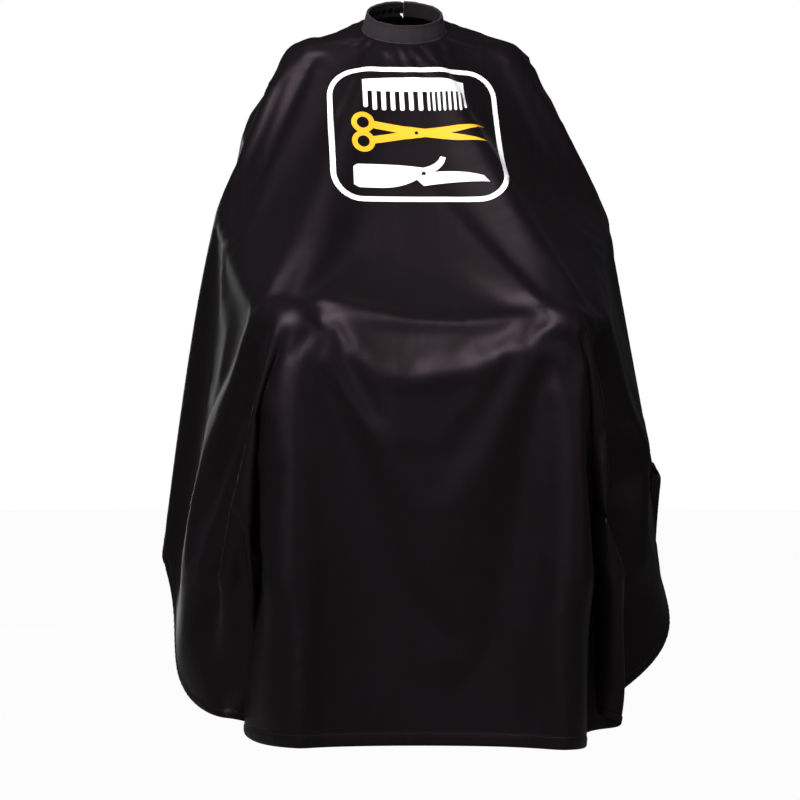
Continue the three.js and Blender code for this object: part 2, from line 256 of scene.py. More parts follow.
def weave_group():
    """Threads of a woven cloth on a map in metres: the raised threads, and a slow change of tone."""
    group, start, end = new_group(
        "Weave",
        [("Vector", "Vector", None), ("Warp", "Float", 0.5), ("Weft", "Float", 0.5)],
        [("Threads", "Float"), ("Tone", "Float")],
    )
    vector = start.outputs["Vector"]
    warp = maths(group, "MULTIPLY", ribs(group, vector, "X", 700), start.outputs["Warp"])
    weft = maths(group, "MULTIPLY", ribs(group, vector, "Y", 560), start.outputs["Weft"])
    group.links.new(maths(group, "ADD", warp, weft), end.inputs["Threads"])
    streaks = noise(group, stretched(group, vector, (240, 9, 1)), 1.0, 2.0)
    clouds = noise(group, vector, 14.0, 4.0)
    tone = maths(group, "ADD", maths(group, "MULTIPLY", streaks, 0.45), maths(group, "MULTIPLY", clouds, 0.55))
    group.links.new(tone, end.inputs["Tone"])
    return group


def crease_group():
    """Soft creases that cloth keeps from being folded and worn, as a height."""
    group, start, end = new_group("Creases", [("Vector", "Vector", None)], [("Height", "Float")])
    vector = start.outputs["Vector"]
    long_creases = noise(group, stretched(group, vector, (26, 8, 1), 0.35), 1.0, 3.0, 0.55)
    cross = noise(group, stretched(group, vector, (9, 30, 1), -0.6), 1.0, 3.0, 0.55)
    group.links.new(
        maths(group, "ADD", long_creases, maths(group, "MULTIPLY", cross, 0.6)), end.inputs["Height"]
    )
    return group


def wear_group():
    """Small marks and a slow change over a hard or printed surface."""
    group, start, end = new_group(
        "Wear", [("Vector", "Vector", None), ("Scale", "Float", 60.0)], [("Marks", "Float"), ("Tone", "Float")]
    )
    marks = group.nodes.new("ShaderNodeTexNoise")
    marks.inputs["Detail"].default_value = 6
    group.links.new(start.outputs["Vector"], marks.inputs["Vector"])
    group.links.new(start.outputs["Scale"], marks.inputs["Scale"])
    group.links.new(marks.outputs["Fac"], end.inputs["Marks"])
    group.links.new(noise(group, start.outputs["Vector"], 18.0, 2.0), end.inputs["Tone"])
    return group


def new_material(name, roughness, metallic=0.0):
    material = bpy.data.materials.new(name)
    material.use_nodes = True
    shader = material.node_tree.nodes["Principled BSDF"]
    shader.inputs["Roughness"].default_value = roughness
    shader.inputs["Metallic"].default_value = metallic
    return material, material.node_tree, shader


def place_group(tree, group, vector, **values):
    node = tree.nodes.new("ShaderNodeGroup")
    node.node_tree = group
    tree.links.new(vector, node.inputs["Vector"])
    for socket, value in values.items():
        node.inputs[socket].default_value = value
    return node


def mixed(tree, factor, dark, light):
    """A colour between two, by a factor that changes over the surface."""
    ramp = tree.nodes.new("ShaderNodeValToRGB")
    ramp.color_ramp.elements[0].position = 0.30
    ramp.color_ramp.elements[1].position = 0.72
    ramp.color_ramp.elements[0].color = (*dark, 1)
    ramp.color_ramp.elements[1].color = (*light, 1)
    tree.links.new(factor, ramp.inputs["Fac"])
    return ramp.outputs["Color"]


def spread_over(tree, factor, low, high):
    node = tree.nodes.new("ShaderNodeMapRange")
    node.inputs["To Min"].default_value = low
    node.inputs["To Max"].default_value = high
    tree.links.new(factor, node.inputs["Value"])
    return node.outputs["Result"]


def bumped(tree, height, strength, distance, under=None):
    node = tree.nodes.new("ShaderNodeBump")
    node.inputs["Strength"].default_value = strength
    node.inputs["Distance"].default_value = distance
    tree.links.new(height, node.inputs["Height"])
    if under is not None:
        tree.links.new(under, node.inputs["Normal"])
    return node.outputs["Normal"]


def shades(colour, dark, light):
    return [tuple(c * share for c in colour) for share in (dark, light)]


def satin_material():
    """Black satin: smooth threads that catch a soft, faintly purple light."""
    cloth = sizes("cloth")
    material, tree, shader = new_material("satin", 0.42)
    shader.inputs["Specular IOR Level"].default_value = 0.145
    shader.inputs["Specular Tint"].default_value = (*cloth.sheen_colour, 1)
    shader.inputs["Sheen Weight"].default_value = 0.004
    shader.inputs["Sheen Roughness"].default_value = 0.35
    shader.inputs["Sheen Tint"].default_value = (*cloth.sheen_colour, 1)
    uv = tree.nodes.new("ShaderNodeUVMap")
    uv.uv_map = "Flat"
    vector = uv.outputs["UV"]
    weave = place_group(tree, bpy.data.node_groups["Weave"], vector, Warp=0.8, Weft=0.3)
    creases = place_group(tree, bpy.data.node_groups["Creases"], vector)
    dark, light = shades(cloth.colour, 0.86, 1.16)
    tree.links.new(mixed(tree, weave.outputs["Tone"], dark, light), shader.inputs["Base Color"])
    tree.links.new(spread_over(tree, weave.outputs["Tone"], 0.37, 0.50), shader.inputs["Roughness"])
    soft = bumped(tree, creases.outputs["Height"], 0.55, 0.0022)
    tree.links.new(bumped(tree, weave.outputs["Threads"], 0.10, 0.00012, soft), shader.inputs["Normal"])
    return material


def band_material():
    """The duller plain weave of the neckband and the strap."""
    band = sizes("band")
    material, tree, shader = new_material("band_cloth", 0.60)
    shader.inputs["Specular IOR Level"].default_value = 0.05
    shader.inputs["Sheen Weight"].default_value = 0.003
    uv = tree.nodes.new("ShaderNodeUVMap")
    uv.uv_map = "Flat"
    vector = uv.outputs["UV"]
    weave = place_group(tree, bpy.data.node_groups["Weave"], vector, Warp=0.55, Weft=0.55)
    dark, light = shades(band.colour, 0.85, 1.2)
    tree.links.new(mixed(tree, weave.outputs["Tone"], dark, light), shader.inputs["Base Color"])
    tree.links.new(spread_over(tree, weave.outputs["Tone"], 0.52, 0.68), shader.inputs["Roughness"])
    tree.links.new(bumped(tree, weave.outputs["Threads"], 0.35, 0.0002), shader.inputs["Normal"])
    return material


def thread_material():
    material, tree, shader = new_material("thread", 0.5)
    shader.inputs["Sheen Weight"].default_value = 0.01
    place = tree.nodes.new("ShaderNodeTexCoord").outputs["Object"]
    wear = place_group(tree, bpy.data.node_groups["Wear"], place, Scale=900.0)
    dark, light = shades((0.0075, 0.0068, 0.0078), 0.8, 1.4)
    tree.links.new(mixed(tree, wear.outputs["Marks"], dark, light), shader.inputs["Base Color"])
    tree.links.new(bumped(tree, wear.outputs["Marks"], 0.4, 0.0001), shader.inputs["Normal"])
    return material


def snap_material():
    """Black lacquer over brass, a little worn."""
    material, tree, shader = new_material("black_snap", 0.3, 0.85)
    place = tree.nodes.new("ShaderNodeTexCoord").outputs["Object"]
    wear = place_group(tree, bpy.data.node_groups["Wear"], place, Scale=420.0)
    tree.links.new(
        mixed(tree, wear.outputs["Marks"], (0.016, 0.016, 0.018), (0.045, 0.044, 0.046)),
        shader.inputs["Base Color"],
    )
    tree.links.new(spread_over(tree, wear.outputs["Marks"], 0.22, 0.42), shader.inputs["Roughness"])
    return material


def stiffener_material():
    """Off-white non-woven interfacing."""
    material, tree, shader = new_material("interfacing", 0.85)
    place = tree.nodes.new("ShaderNodeTexCoord").outputs["Object"]
    wear = place_group(tree, bpy.data.node_groups["Wear"], place, Scale=500.0)
    tree.links.new(
        mixed(tree, wear.outputs["Marks"], (0.52, 0.50, 0.46), (0.68, 0.66, 0.62)), shader.inputs["Base Color"]
    )
    tree.links.new(bumped(tree, wear.outputs["Marks"], 0.5, 0.0003), shader.inputs["Normal"])
    return material


def print_material(name, colour):
    """Heat-pressed film that lets the weave show through."""
    material, tree, shader = new_material(name, 0.5)
    shader.inputs["Specular IOR Level"].default_value = 0.3
    uv = tree.nodes.new("ShaderNodeUVMap")
    uv.uv_map = "Flat"
    vector = uv.outputs["UV"]
    weave = place_group(tree, bpy.data.node_groups["Weave"], vector, Warp=0.5, Weft=0.4)
    wear = place_group(tree, bpy.data.node_groups["Wear"], vector, Scale=240.0)
    dark, light = shades(colour, 0.95, 1.03)
    tree.links.new(mixed(tree, wear.outputs["Tone"], dark, light), shader.inputs["Base Color"])
    tree.links.new(spread_over(tree, wear.outputs["Marks"], 0.44, 0.6), shader.inputs["Roughness"])
    tree.links.new(bumped(tree, weave.outputs["Threads"], 0.18, 0.00015), shader.inputs["Normal"])
    return material


# ---------------------------------------------------------------- helpers for pieces


def deselect():
    if bpy.context.object is not None and bpy.context.object.mode != "OBJECT":
        bpy.ops.object.mode_set(mode="OBJECT")
    bpy.ops.object.select_all(action="DESELECT")


def make_active(piece):
    deselect()
    piece.select_set(True)
    bpy.context.view_layer.objects.active = piece


def apply_modifier(piece, kind, **settings):
    make_active(piece)
    modifier = piece.modifiers.new(kind.title(), kind)
    for name, value in settings.items():
        setattr(modifier, name, value)
    bpy.ops.object.modifier_apply(modifier=modifier.name)


def finish_piece(piece, name, material, bodies=("cape",), angle=40):
    """Names a piece, gives it its finish and puts it on its body."""
    make_active(piece)
    piece.name = name
    piece.data.name = name
    piece.data.materials.clear()
    piece.data.materials.append(bpy.data.materials[material])
    bpy.ops.object.shade_smooth_by_angle(angle=math.radians(angle))
    if len(bodies) == 1:
        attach(piece, bodies[0])
    return piece


def points_of(mesh, attribute=None):
    values = np.zeros(len(mesh.vertices) * 3, np.float32)
    if attribute:
        mesh.attributes[attribute].data.foreach_get("vector", values)
    else:
        mesh.vertices.foreach_get("co", values)
    return values.reshape(-1, 3).astype(float)


def set_points(mesh, points):
    mesh.vertices.foreach_set("co", np.asarray(points, np.float32).ravel())
    mesh.update()


def map_flat(mesh, flat):
    """A UV map in metres over one metre's worth of map, from a flat place for each vertex."""
    layer = mesh.uv_layers.get("Flat") or mesh.uv_layers.new(name="Flat")
    corner = np.zeros(len(mesh.loops), np.int32)
    mesh.loops.foreach_get("vertex_index", corner)
    layer.data.foreach_set("uv", np.asarray(flat, np.float32)[corner].ravel())


def sheet_piece(columns, rows, place, wall, flat_size, round_edge=True):
    """A grid bent over place(u, v), given a wall on its inner side."""
    deselect()
    bpy.ops.mesh.primitive_grid_add(x_subdivisions=columns, y_subdivisions=rows, size=1)
    piece = bpy.context.object
    shares = points_of(piece.data)[:, :2] + 0.5
    set_points(piece.data, [place(u, v) for u, v in shares])
    map_flat(piece.data, shares * np.array(flat_size))
    apply_modifier(piece, "SOLIDIFY", thickness=wall, offset=-1, use_even_offset=True)
    if round_edge:
        apply_modifier(piece, "SUBSURF", levels=1, render_levels=1)
    return piece


# ---------------------------------------------------------------- the flat cut


def outline_path():
    """The outer edge of the cut as stretches, clockwise from above so that walk() finds their inward normals: name and
    points.
    """
    cloth = sizes("cloth")
    half = cloth.width / 2
    back, front = cloth.back, -cloth.front

    def line(start, end):
        return [Vector(start), Vector(end)]

    def arc(centre, radius, start, end, count=24):
        turns = [math.radians(start + (end - start) * i / count) for i in range(count + 1)]
        return [Vector((centre[0] + radius * math.cos(t), centre[1] + radius * math.sin(t))) for t in turns]

    r, rb = cloth.front_corner, cloth.back_corner
    slit = cloth.opening / 2
    return {
        "right_back": line((slit, back), (half - rb, back)) + arc((half - rb, back - rb), rb, 90, 45)[1:],
        "right_side": arc((half - rb, back - rb), rb, 45, 0) + arc((half - r, front + r), r, 0, -45),
        "front": arc((half - r, front + r), r, -45, -90) + arc((r - half, front + r), r, -90, -135),
        "left_side": arc((r - half, front + r), r, -135, -180) + arc((rb - half, back - rb), rb, 180, 135),
        "left_back": arc((rb - half, back - rb), rb, 135, 90) + line((rb - half, back), (-slit, back))[1:],
        "right_opening": line((slit, cloth.neck_cut + 0.004), (slit, back - cloth.hem)),
        "left_opening": line((-slit, back - cloth.hem), (-slit, cloth.neck_cut + 0.004)),
    }


def walk(points, step):
    """Places along a line of points, about a step apart, with the inward normal at each."""
    points = np.array([tuple(p) for p in points])
    along = np.concatenate([[0], np.cumsum(np.linalg.norm(np.diff(points, axis=0), axis=1))])
    at = np.linspace(0, along[-1], max(2, round(along[-1] / step) + 1))
    where = np.stack([np.interp(at, along, points[:, k]) for k in range(2)], 1)
    heading = np.gradient(where, axis=0)
    heading /= np.linalg.norm(heading, axis=1)[:, None]
    return where, np.stack([heading[:, 1], -heading[:, 0]], 1), at


def spaced(points, step):
    """The corners of a line with whole steps between them, without the last one."""
    made = []
    for start, end in zip(points[:-1], points[1:]):
        count = max(1, int(round(np.linalg.norm(end - start) / step)))
        made += [start + (end - start) * i / count for i in range(count)]
    return made


def inside(outline, points):
    x, y = points.T
    found = np.zeros(len(points), bool)
    for (x1, y1), (x2, y2) in zip(outline, np.roll(outline, -1, 0)):
        found ^= ((y1 > y) != (y2 > y)) & (x < (x2 - x1) * (y - y1) / (y2 - y1 + 1e-30) + x1)
    return found


def edge_distance(outline, points):
    best = np.full(len(points), 9.0)
    for start, end in zip(outline, np.roll(outline, -1, 0)):
        run = end - start
        t = np.clip(((points - start) @ run) / max(run @ run, 1e-18), 0, 1)
        best = np.minimum(best, np.linalg.norm(points - (start + t[:, None] * run), axis=1))
    return best


def cut_outline(step):
    """The whole edge of the cut in one loop: outer edge, left back edge, neck hole, right back edge."""
    cloth = sizes("cloth")
    half, front, back = cloth.width / 2, cloth.front, cloth.back
    gap, neck_steps, arc_steps = cloth.opening / 2, 96, 10
    corners = [(gap, back)]
    for centre_x, centre_y, radius, start in (
        (half - cloth.back_corner, back - cloth.back_corner, cloth.back_corner, 90),
        (half - cloth.front_corner, -front + cloth.front_corner, cloth.front_corner, 0),
        (-half + cloth.front_corner, -front + cloth.front_corner, cloth.front_corner, -90),
        (-half + cloth.back_corner, back - cloth.back_corner, cloth.back_corner, 180),
    ):
        for i in range(arc_steps + 1):
            turn = math.radians(start - 90 * i / arc_steps)
            corners.append((centre_x + radius * math.cos(turn), centre_y + radius * math.sin(turn)))
    corners.append((-gap, back))
    corners = [np.array(corner) for corner in corners]
    outer = spaced(corners, step) + [corners[-1]]
    first = math.asin(gap / cloth.neck_cut)
    turns = [first + (2 * math.pi - 2 * first) * i / neck_steps for i in range(neck_steps + 1)]
    neck = [cloth.neck_cut * np.array((math.sin(t), math.cos(t))) for t in turns]
    right = spaced([neck[0], outer[0]], step * 0.8)[1:]
    left = spaced([outer[-1], neck[-1]], step * 0.8)[1:]
    return np.array(outer + left + neck[::-1] + right)


def cut_mesh(step=0.016):
    """The flat cut as points and triangles, finer near the neck."""
    cloth = sizes("cloth")
    outline = cut_outline(step)
    fine, middle = 0.0065, 0.010
    fine_to, middle_to = cloth.neck_cut + 0.05, cloth.neck_cut + 0.11

    def field(spacing, low, high):
        rows, y, found = 0, -cloth.front - spacing, []
        while y < cloth.back + spacing:
            x = -cloth.width / 2 - spacing + (spacing / 2 if rows % 2 else 0)
            while x < cloth.width / 2 + spacing:
                if low < math.hypot(x, y) < high:
                    found.append((x, y))
                x += spacing
            y += spacing * math.sqrt(3) / 2
            rows += 1
        return found

    points = np.array(
        field(fine, cloth.neck_cut + fine * 0.6, fine_to)
        + field(middle, fine_to + middle * 0.5, middle_to)
        + field(step, middle_to + step * 0.5, 9)
    )
    reach = np.hypot(*points.T)
    room = np.where(reach < fine_to, 0.5 * fine, np.where(reach < middle_to, 0.5 * middle, 0.55 * step))
    points = points[inside(outline, points) & (edge_distance(outline, points) > room)]
    edges = [(i, (i + 1) % len(outline)) for i in range(len(outline))]
    every = [Vector(p) for p in np.vstack([outline, points])]
    made, _, faces, *_ = delaunay_2d_cdt(every, edges, [list(range(len(outline)))], 1, 1e-7)
    return np.array([tuple(p) for p in made]), [tuple(face) for face in faces]


def held_start(flat):
    """The cut as it is held before it falls: gathered and tilted at the neck, sloping down outside."""
    cloth = sizes("cloth")
    start = np.zeros((len(flat), 3))
    start[:, :2] = askew(flat)
    reach = np.hypot(start[:, 0], start[:, 1])
    beyond = reach - cloth.neck_cut
    gathered = reach - (cloth.neck_cut - 0.067) * np.exp(-beyond / 0.15)
    start[:, :2] *= (gathered / reach)[:, None]
    angle = np.arctan2(start[:, 0], -start[:, 1])
    tilt = math.radians(30)
    start[:, 2] = math.tan(tilt) * start[:, 1] * np.minimum(1, 0.10 / np.maximum(gathered, 1e-6))
    squeeze = 1 - (1 - math.cos(tilt)) * np.exp(-beyond / 0.05)
    start[:, 1] *= squeeze
    start[:, 2] *= squeeze
    start[:, 2] += gathers(beyond, angle)
    start[:, 2] -= 0.25 * np.clip(reach - 0.10, 0, None)
    return start


def askew(flat):
    """The flat cut as it lies on the wearer, turned a little."""
    turn = math.radians(-2)
    c, s = math.cos(turn), math.sin(turn)
    return flat @ np.array([[c, s], [-s, c]])


def gathers(beyond, angle):
    """The wave of the cloth where the band gathers it, by distance from the band and angle."""
    return 0.0024 * np.exp(-beyond / 0.12) * np.cos(24 * angle + 0.9 * np.sin(3 * angle))


def calmed(points, flat, faces):
    """The draped points with a level top edge, and without the crumples low at the sides."""
    made = points.copy()
    beyond = np.hypot(*flat.T) - sizes("cloth").neck_cut
    lying = askew(flat)
    angle = np.arctan2(lying[:, 0], -lying[:, 1])
    made[:, 2] -= gathers(beyond, angle) * np.exp(-((beyond / 0.022) ** 2))
    faces = np.array(faces)
    edges = np.sort(np.concatenate([faces[:, [0, 1]], faces[:, [1, 2]], faces[:, [2, 0]]]), axis=1)
    edges, uses = np.unique(edges, axis=0, return_counts=True)
    rim = np.zeros(len(points), bool)
    rim[edges[uses == 1]] = True
    pairs = edges[(uses == 1) | ~(rim[edges[:, 0]] & rim[edges[:, 1]])]
    pairs = np.concatenate([pairs, pairs[:, ::-1]])
    pairs = pairs[~rim[pairs[:, 0]] | rim[pairs[:, 1]]]
    count = np.maximum(np.bincount(pairs[:, 0], minlength=len(points)), 1)[:, None]
    low = np.clip((-0.84 - points[:, 2]) / 0.08, 0, 1)
    aside = np.clip((np.abs(points[:, 0]) - 0.175) / 0.03, 0, 1)
    share = (0.6 * low * aside)[:, None]
    for _ in range(24):
        total = np.stack([np.bincount(pairs[:, 0], made[pairs[:, 1], k], len(points)) for k in range(3)], 1)
        made += share * (total / count - made)
    return made


# ---------------------------------------------------------------- the fall of the cloth


def body_form(name, centres, radii):
    """A rounded form for the cloth to fall on: the hull of a few balls."""
    form = bmesh.new()
    for centre, radius in zip(centres, radii):
        place = Matrix.Translation(centre) @ Matrix.Diagonal((radius, radius, radius, 1))
        bmesh.ops.create_icosphere(form, subdivisions=3, radius=1.0, matrix=place)
    hull = bmesh.ops.convex_hull(form, input=form.verts)
    within = [g for g in hull["geom_interior"] if isinstance(g, bmesh.types.BMVert)]
    bmesh.ops.delete(form, geom=list(set(within)), context="VERTS")
    mesh = bpy.data.meshes.new(name)
    form.to_mesh(mesh)
    form.free()
    made = bpy.data.objects.new(name, mesh)
    bpy.context.scene.collection.objects.link(made)
    made.modifiers.new("Collision", "COLLISION")
    made.collision.thickness_outer = 0.004
    made.collision.thickness_inner = 0.02
    made.collision.cloth_friction = 8.0
    made.collision.damping = 0.3
    made.collision.use_culling = False
    return made


def body_forms():
    """A seated body and a chair, only for the cloth to fall on. They are removed afterwards."""
    made = []
    for side, shoulder, elbow, hip, fall in ((-1, 0.140, 0.260, 0.01, 0.335), (1, 0.150, 0.275, 0.0, 0.362)):

        def at(x, y, z):
            return Vector((side * x, y, z))

        made += [
            body_form("upper_arm", [at(shoulder, 0.015, -0.064), at(elbow, -0.085, -0.318)], [0.046, 0.034]),
            body_form("forearm", [at(elbow, -0.085, -0.318), at(0.205, -0.395, -0.485)], [0.034, 0.026]),
            body_form("hand", [at(0.205, -0.395, -0.487), at(0.185, -0.430, -0.493)], [0.030, 0.028]),
            body_form("thigh", [at(0.095, -0.05, -0.545), at(0.160, -0.400, -0.537)], [0.075, 0.064]),
            body_form("shin", [at(0.160, -0.400, -0.537), at(0.150, -0.380, -1.05)], [0.058, 0.050]),
            body_form("shoulder", [Vector((0, 0.02, -0.040)), at(shoulder - 0.002, 0.015, -0.068)], [0.046, 0.044]),
            body_form(
                "chair_side",
                [
                    at(0.29 - hip, 0.03, -0.42),
                    at(0.26 - hip, -0.26, -0.48),
                    at(fall, 0.03, -1.06),
                    at(fall, -0.26, -1.06),
                    at(0.20, -0.1, -1.06),
                    at(0.20, -0.1, -0.5),
                ],
                [0.02] * 6,
            ),
        ]

    def pairs(*places):
        return [Vector((side * x, y, z)) for x, y, z in places for side in (1, -1)]

    made += [
        body_form(
            "lap",
            pairs((0.14, -0.40, -0.537), (0.14, -0.38, -1.0), (0.1, -0.1, -0.55)),
            [0.055, 0.055, 0.05, 0.05, 0.07, 0.07],
        ),
        body_form(
            "torso",
            pairs((0.09, 0.01, -0.13), (0.10, 0.02, -0.30), (0.09, 0, -0.5)),
            [0.085, 0.085, 0.095, 0.095, 0.10, 0.10],
        ),
        body_form("chair_back", pairs((0.19, 0.135, -0.24), (0.19, 0.135, -0.90)), [0.04] * 4),
        body_form("neck", [Vector((0, 0, -0.03)), Vector((0, 0, 0.02))], [0.056, 0.050]),
    ]
    return made


def let_fall(cape, cut, start, frames, air, speed):
    """Runs the cloth from a start. After the first fall it starts at rest and keeps the cut's lengths."""
    scene = bpy.context.scene
    for modifier in list(cape.modifiers):
        cape.modifiers.remove(modifier)
    if cape.data.shape_keys:
        cape.shape_key_clear()
    set_points(cape.data, start)
    again = start is not cut
    if again:
        cape.shape_key_add(name="Basis")
        key = cape.shape_key_add(name="cut")
        key.data.foreach_set("co", np.asarray(cut, np.float32).ravel())
        for at, value in ((1, 0), (2, 1)):
            key.value = value
            key.keyframe_insert("value", frame=at)
    modifier = cape.modifiers.new("Cloth", "CLOTH")
    cloth = modifier.settings
    cloth.use_dynamic_mesh = again
    cloth.quality = 6
    cloth.mass = 0.1
    cloth.tension_stiffness = cloth.compression_stiffness = 40
    cloth.shear_stiffness = 20
    cloth.bending_stiffness = 0.4
    cloth.tension_damping = cloth.compression_damping = cloth.shear_damping = 5
    cloth.bending_damping = 0.5
    cloth.air_damping = air
    cloth.vertex_group_mass = "pin"
    cloth.pin_stiffness = 1
    cloth.bending_model = "ANGULAR"
    cloth.time_scale = speed
    modifier.collision_settings.collision_quality = 3
    modifier.collision_settings.distance_min = 0.003
    modifier.collision_settings.use_self_collision = False
    modifier.point_cache.frame_start = scene.frame_start = 1
    modifier.point_cache.frame_end = scene.frame_end = frames
    for frame_number in range(1, frames + 1):
        scene.frame_set(frame_number)
    shown = cape.evaluated_get(bpy.context.evaluated_depsgraph_get())
    fallen = points_of(shown.to_mesh())
    shown.to_mesh_clear()
    scene.frame_set(1)
    return fallen


def drape(cape, cut):
    """The cape's points after its fall."""
    forms = body_forms()
    fallen = let_fall(cape, cut, cut, 38, 0.6, 1.5)
    for _ in range(2):
        fallen = let_fall(cape, cut, fallen, 20, 4.0, 1.0)
    cape.modifiers.clear()
    cape.shape_key_clear()
    cape.animation_data_clear()
    for form in forms:
        bpy.data.meshes.remove(form.data)
    y = fallen[:, 1]
    fallen[:, 1] = np.where(y < 0, -eased(-y, 0.525, 0.030), eased(y, 0.290, 0.012))
    return fallen


def eased(value, start, room):
    """The value, slowed down past a start so that it never gets further than some room beyond it."""
    return np.where(value > start, start + room * (1 - np.exp(-np.maximum(value - start, 0) / room)), value)


class Draped:
    """Finds the place and the normal on the draped cloth for a place on the flat cut."""

    def __init__(self):
        mesh = bpy.data.objects["cape_cloth"].data
        self.shape = [Vector(p) for p in points_of(mesh)]
        self.flat = [Vector(p) for p in points_of(mesh, "flat")]
        mesh.calc_loop_triangles()
        self.faces = [tuple(t.vertices) for t in mesh.loop_triangles]
        self.tree = BVHTree.FromPolygons(self.flat, self.faces)
        self.shown = BVHTree.FromPolygons(self.shape, self.faces)
        self.normals = [Vector(v.normal) for v in mesh.vertices]

    def _across(self, place, index, source, *targets):
        corners = [source[i] for i in self.faces[index]]
        return [barycentric_transform(place, *corners, *[t[i] for i in self.faces[index]]) for t in targets]

    def at(self, x, y):
        place, _, index, _ = self.tree.find_nearest(Vector((x, y, 0)))
        point, normal = self._across(place, index, self.flat, self.shape, self.normals)
        return point, normal.normalized()

    def ahead(self, x, z):
        """The place and the normal that are seen at a height straight ahead of the wearer."""
        place, _, index, _ = self.shown.ray_cast(Vector((x, -2, z)), Vector((0, 1, 0)))
        return place, self._across(place, index, self.shape, self.normals)[0].normalized()


# ---------------------------------------------------------------- operators


class MakeMaterials(bpy.types.Operator):
    """Make the finishes of the cape"""

    bl_idname = "barber_cape.materials"
    bl_label = "Finishes"

    def execute(self, context):
        weave_group()
        crease_group()
        wear_group()
        satin_material()
        band_material()
        thread_material()
        snap_material()
        stiffener_material()
        print_material("white_print", sizes("print").white)
        print_material("yellow_print", sizes("print").yellow)
        return {"FINISHED"}


class MakeCloth(bpy.types.Operator):
    """Cut the panel and let it fall over a seated body"""

    bl_idname = "barber_cape.cloth"
    bl_label = "Cloth"

    def execute(self, context):
        cloth = sizes("cloth")
        flat, faces = cut_mesh()
        cut = held_start(flat)
        mesh = bpy.data.meshes.new("cape_cloth")
        mesh.from_pydata(cut.tolist(), [], faces)
        cape = bpy.data.objects.new("cape_cloth", mesh)
        context.scene.collection.objects.link(cape)
        lying = mesh.attributes.new("flat", "FLOAT_VECTOR", "POINT")
        lying.data.foreach_set("vector", np.column_stack([flat, 0 * flat[:, 0]]).astype(np.float32).ravel())
        pins = cape.vertex_groups.new(name="pin")
        neck = np.flatnonzero(np.hypot(*flat.T) < cloth.neck_cut + 0.0008)
        pins.add([int(i) for i in neck], 1.0, "REPLACE")
        set_points(mesh, calmed(drape(cape, cut), flat, faces))
        cape.vertex_groups.clear()
        make_active(cape)
        bpy.ops.object.mode_set(mode="EDIT")
        bpy.ops.mesh.select_all(action="SELECT")
        bpy.ops.mesh.tris_convert_to_quads(face_threshold=math.pi, shape_threshold=math.pi)
        bpy.ops.object.mode_set(mode="OBJECT")
        apply_modifier(cape, "SUBSURF", levels=1, render_levels=1)
        map_flat(cape.data, points_of(cape.data, "flat")[:, :2] * 0.5 + np.array([0.5, 0.62]))
        finish_piece(cape, "cape_cloth", "satin", angle=180)
        wall = cape.modifiers.new("Wall", "SOLIDIFY")
        wall.thickness = cloth.wall
        wall.offset = -1
        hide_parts("cape_panel")
        return {"FINISHED"}


def hem_section(hem, wall, puff):
    """The closed section of a turned hem: depth from the edge, height over the cloth, share of pucker."""
    over, under = 0.00035, -wall - 0.0011
    outside = [(hem, over * 0.4, 0), (hem * 0.94, over, 0.15), (hem * 0.86, over, 0.1)]
    outside += [(hem * share, over + puff, 1) for share in (0.7, 0.5, 0.3, 0.12)]
    edge = [(-0.0006, over * 0.5, 0.5), (-0.0012, -wall * 0.7, 0.3), (-0.0006, under * 0.8, 0.2)]
    inside_fold = [(hem * share, under, -0.5) for share in (0.12, 0.5, 0.86)]
    return outside + edge + inside_fold + [(hem, under * 0.9, 0), (hem, -wall * 0.5, 0)]


def pucker(along, seed):
    """Small uneven gathers along a seam, from 0 to 1."""
    waves = math.sin(along * 560 + 2.1 * math.sin(along * 31 + seed)) * math.sin(along * 97 + seed * 2.3)
    return 0.5 + 0.5 * waves


def tube_faces(count, around):
    """Quads of a tube of rings with its two ends closed."""
    faces = [
        (i * around + j, i * around + (j + 1) % around, (i + 1) * around + (j + 1) % around, (i + 1) * around + j)
        for i in range(count - 1)
        for j in range(around)
    ]
    ends = [tuple(range(around))[::-1], tuple(range((count - 1) * around, count * around))]
    return faces + ends


def mesh_piece(name, points, faces, flat):
    mesh = bpy.data.meshes.new(name)
    mesh.from_pydata([tuple(p) for p in points], [], faces)
    map_flat(mesh, flat)
    piece = bpy.data.objects.new(name, mesh)
    bpy.context.scene.collection.objects.link(piece)
    make_active(piece)
    bpy.ops.object.mode_set(mode="EDIT")
    bpy.ops.mesh.select_all(action="SELECT")
    bpy.ops.mesh.normals_make_consistent(inside=False)
    bpy.ops.object.mode_set(mode="OBJECT")
    return piece


def turned_hem(draped, stretch, points, seed):
    """A hem folded under along one stretch of the edge, and the line that its stitches follow."""
    cloth = sizes("cloth")
    section = hem_section(cloth.hem, cloth.wall, 0.0003)
    where, inward, along = walk(points, 0.004)
    made, flat, seam = [], [], []
    for place, normal, distance in zip(where, inward, along):
        gather = pucker(distance, seed)
        for depth, height, share in section:
            point, up = draped.at(*(place + normal * max(depth, 0)))
            if depth < 0:
                beyond, _ = draped.at(*(place + normal * 0.003))
                point = point + (point - beyond).normalized() * -depth
            made.append(point + up * (height + share * gather * 0.0009))
            flat.append((distance * 0.5 + 0.01, 0.05 + depth * 0.5))
        seam.append(draped.at(*(place + normal * (cloth.hem * 0.86))))
    return mesh_piece(stretch, made, tube_faces(len(where), len(section)), flat), seam


